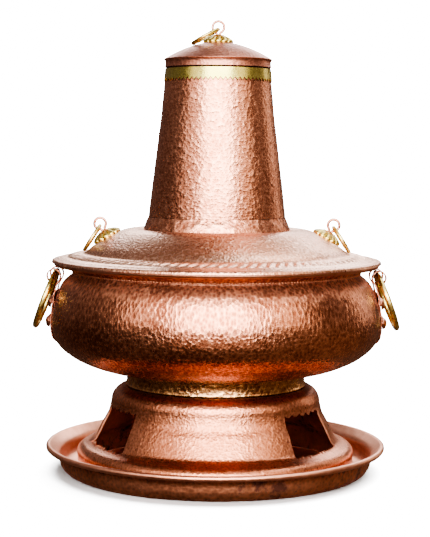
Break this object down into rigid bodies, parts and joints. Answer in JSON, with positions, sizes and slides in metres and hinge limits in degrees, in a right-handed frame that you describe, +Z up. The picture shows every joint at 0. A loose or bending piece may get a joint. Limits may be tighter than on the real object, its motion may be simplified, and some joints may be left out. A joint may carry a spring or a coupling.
{
  "type": "charcoal hot pot",
  "caption": "Hammered copper charcoal hot pot: ring bowl round a chimney, lift-off lid and cap, windowed stand in an ash tray, brass ring handles.",
  "frame": {"origin": "on the pot's axis, at the underside of the ash tray", "axes": "+Z up along the chimney, +X and -X through the ring handles, -Y is the front"},
  "size_m": [0.358, 0.3308, 0.4377],
  "materials": {
    "tray": "satin spun copper, brown outside, red and polished inside",
    "rim_wire": "drawn copper wire",
    "stand": "copper with fine wrinkled hammering, satin foot",
    "neck_band": "copper, strongly hammered",
    "bowl": "red copper with close round hammer marks",
    "fire_tube": "hammered copper",
    "grate_iron": "sooty cast iron",
    "chimney": "pink copper with wide shallow hammer marks",
    "brass": "polished yellow brass, tarnished in the recesses",
    "side_bracket_left": "polished copper strip, hammered",
    "side_bracket_right": "polished copper strip, hammered",
    "copper_wire": "polished copper",
    "lid": "pale pink copper, fine hammering, embossed brim",
    "lid_skirt": "satin copper",
    "cap": "satin copper, lightly hammered"
  },
  "bodies": {
    "tray": {"tray": "tray", "tray_rim_wire": "rim_wire"},
    "pot": {"stand": "stand", "neck_band": "neck_band", "bowl": "bowl", "bowl_rim_wire": "rim_wire", "fire_tube": "fire_tube", "grate_ring": "grate_iron", "grate_bar_1": "grate_iron", "grate_bar_2": "grate_iron", "grate_bar_3": "grate_iron", "grate_bar_4": "grate_iron", "grate_bar_5": "grate_iron", "grate_bar_6": "grate_iron", "chimney": "chimney", "chimney_band": "brass", "side_bracket_left": "side_bracket_left", "side_bracket_right": "side_bracket_right", "bracket_rivet_left_1": "copper_wire", "bracket_rivet_left_2": "copper_wire", "bracket_rivet_left_3": "copper_wire", "bracket_rivet_left_4": "copper_wire", "bracket_rivet_right_1": "copper_wire", "bracket_rivet_right_2": "copper_wire", "bracket_rivet_right_3": "copper_wire", "bracket_rivet_right_4": "copper_wire"},
    "lid": {"lid": "lid", "lid_skirt": "lid_skirt", "lid_rosette_left": "brass", "lid_eye_left": "copper_wire", "lid_washer_left": "brass", "lid_rosette_right": "brass", "lid_eye_right": "copper_wire", "lid_washer_right": "brass"},
    "cap": {"cap": "cap", "cap_rosette": "brass", "cap_eye": "copper_wire", "cap_washer": "brass"},
    "side_ring_left": {"side_ring_left": "brass"},
    "side_ring_right": {"side_ring_right": "brass"},
    "lid_ring_left": {"lid_ring_left": "brass"},
    "lid_ring_right": {"lid_ring_right": "brass"},
    "cap_ring": {"cap_ring": "brass"}
  },
  "joints": [
    {"name": "pot_lift", "type": "slide", "parent": "tray", "child": "pot", "axis": [0, 0, 1], "range_m": [0, 0.06]},
    {"name": "lid_lift", "type": "slide", "parent": "pot", "child": "lid", "axis": [0, 0, 1], "range_m": [0, 0.25]},
    {"name": "cap_lift", "type": "slide", "parent": "pot", "child": "cap", "axis": [0, 0, 1], "range_m": [0, 0.06]},
    {"name": "side_ring_left_swing", "type": "hinge", "parent": "pot", "child": "side_ring_left", "pos_m": [-0.1572, 0, 0.1905], "axis": [0, 1, 0], "range_deg": [-6, 120]},
    {"name": "side_ring_right_swing", "type": "hinge", "parent": "pot", "child": "side_ring_right", "pos_m": [0.1572, 0, 0.1905], "axis": [0, -1, 0], "range_deg": [-6, 120]},
    {"name": "lid_ring_left_swing", "type": "hinge", "parent": "lid", "child": "lid_ring_left", "pos_m": [-0.11369, 0, 0.23849], "axis": [0, 1, 0], "range_deg": [0, 232]},
    {"name": "lid_ring_right_swing", "type": "hinge", "parent": "lid", "child": "lid_ring_right", "pos_m": [0.11369, 0, 0.23849], "axis": [0, -1, 0], "range_deg": [0, 232]},
    {"name": "cap_ring_swing", "type": "hinge", "parent": "cap", "child": "cap_ring", "pos_m": [0, 0, 0.4287], "axis": [0, 1, 0], "range_deg": [0, 234]}
  ]
}
